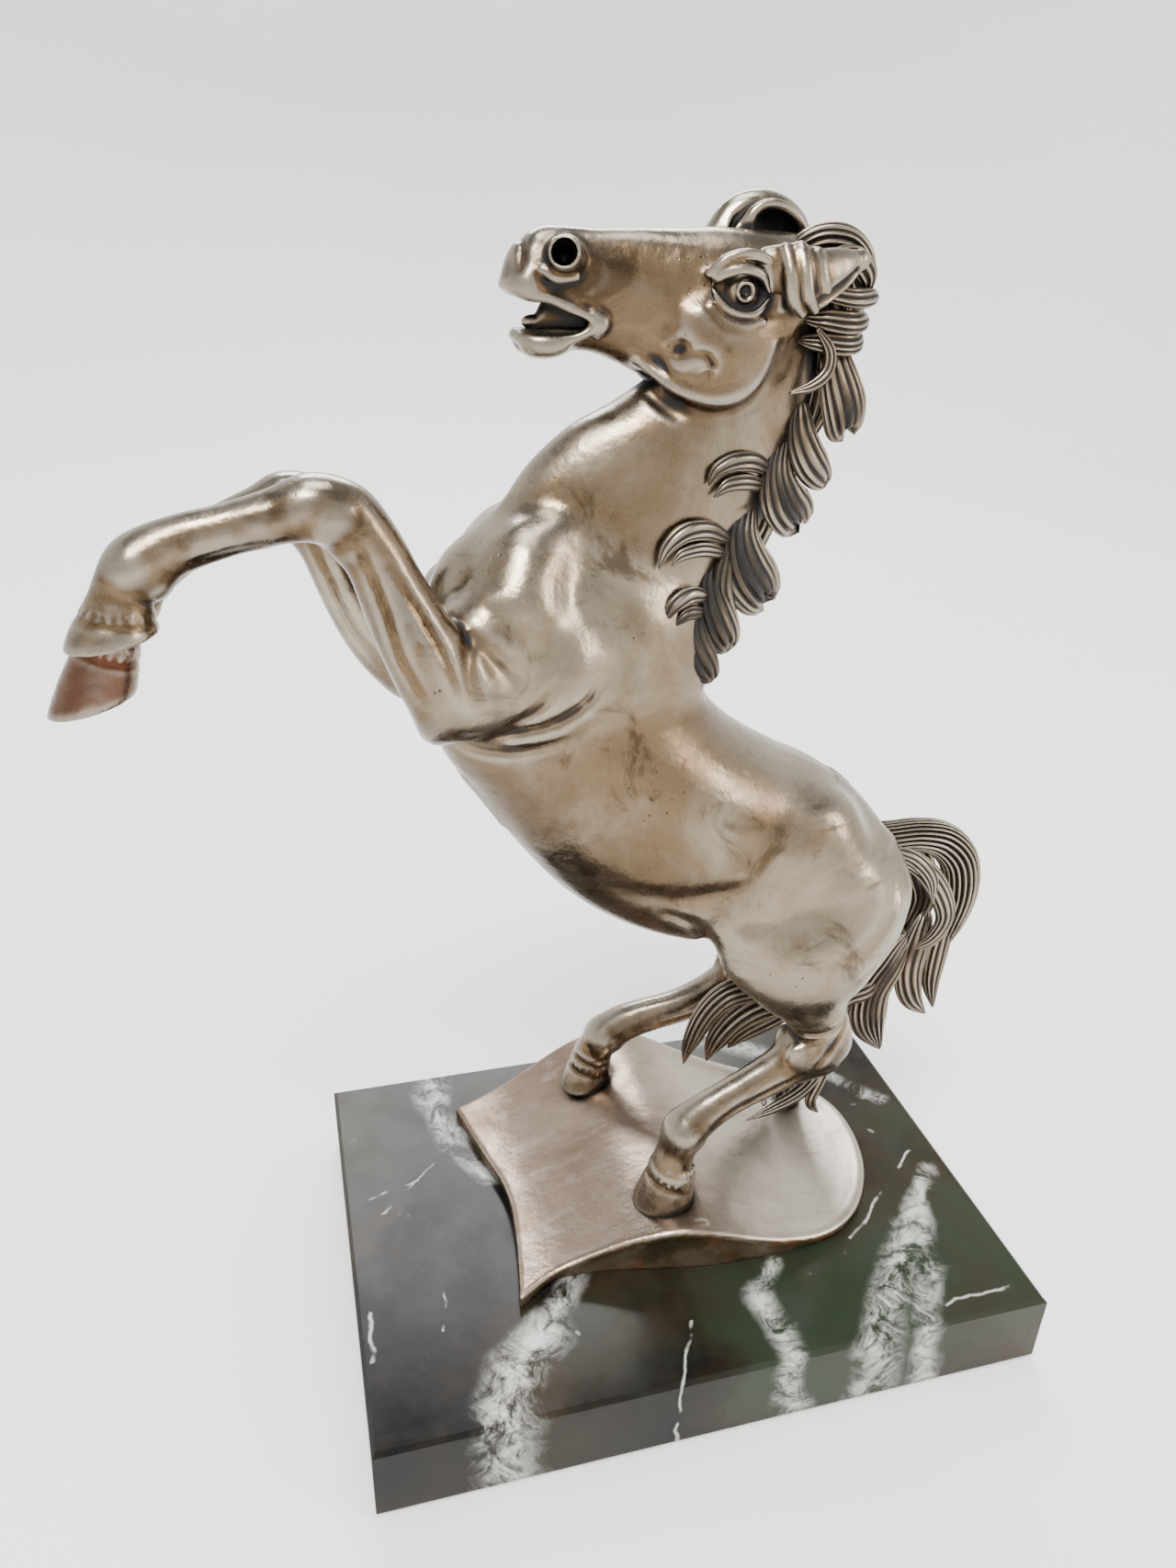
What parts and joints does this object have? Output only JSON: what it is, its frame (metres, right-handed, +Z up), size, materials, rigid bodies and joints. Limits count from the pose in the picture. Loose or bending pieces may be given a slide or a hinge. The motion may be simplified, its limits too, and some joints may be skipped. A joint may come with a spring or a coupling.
{
  "type": "horse statuette",
  "caption": "Rearing horse statuette in silvered bronze on a saddle-shaped cast ground plate and a rectangular black marble base.",
  "frame": {"origin": "centre of the flat underside, on the surface that the statuette stands on", "axes": "+Z up; the horse faces -X, so its tail is towards +X; its left side is at -Y and its right side at +Y"},
  "size_m": [0.258, 0.14, 0.3178],
  "materials": {
    "silvered_bronze": "worn silvering over bronze, brushed to a gloss, dark patina in the recesses",
    "bronze_rod": "drawn rod, plain",
    "steel_hardware": "zinc plated",
    "black_marble": "polished black marble with white veins",
    "black_felt": "pressed wool felt"
  },
  "bodies": {
    "root": {"torso_casting": "silvered_bronze", "neck_casting": "silvered_bronze", "head_casting": "silvered_bronze", "foreleg_left": "silvered_bronze", "foreleg_right": "silvered_bronze", "hind_leg_left": "silvered_bronze", "hind_leg_right": "silvered_bronze", "tail_upper": "silvered_bronze", "tail_lower": "silvered_bronze", "tail_curl": "silvered_bronze", "ear_right": "silvered_bronze", "ear_left": "silvered_bronze", "forelock": "silvered_bronze", "mane_lock_1": "silvered_bronze", "mane_lock_2": "silvered_bronze", "mane_lock_3": "silvered_bronze", "mane_lock_4": "silvered_bronze", "mane_lock_5": "silvered_bronze", "mane_lock_6": "silvered_bronze", "neck_curl_1": "silvered_bronze", "neck_curl_2": "silvered_bronze", "neck_curl_3": "silvered_bronze", "ground_casting": "silvered_bronze", "joint_dowels": "bronze_rod", "hoof_studs": "bronze_rod", "hoof_washers": "steel_hardware", "hoof_nuts": "steel_hardware", "base_screws": "steel_hardware", "base_washers": "steel_hardware", "marble_base": "black_marble", "felt_pad": "black_felt"}
  },
  "joints": []
}
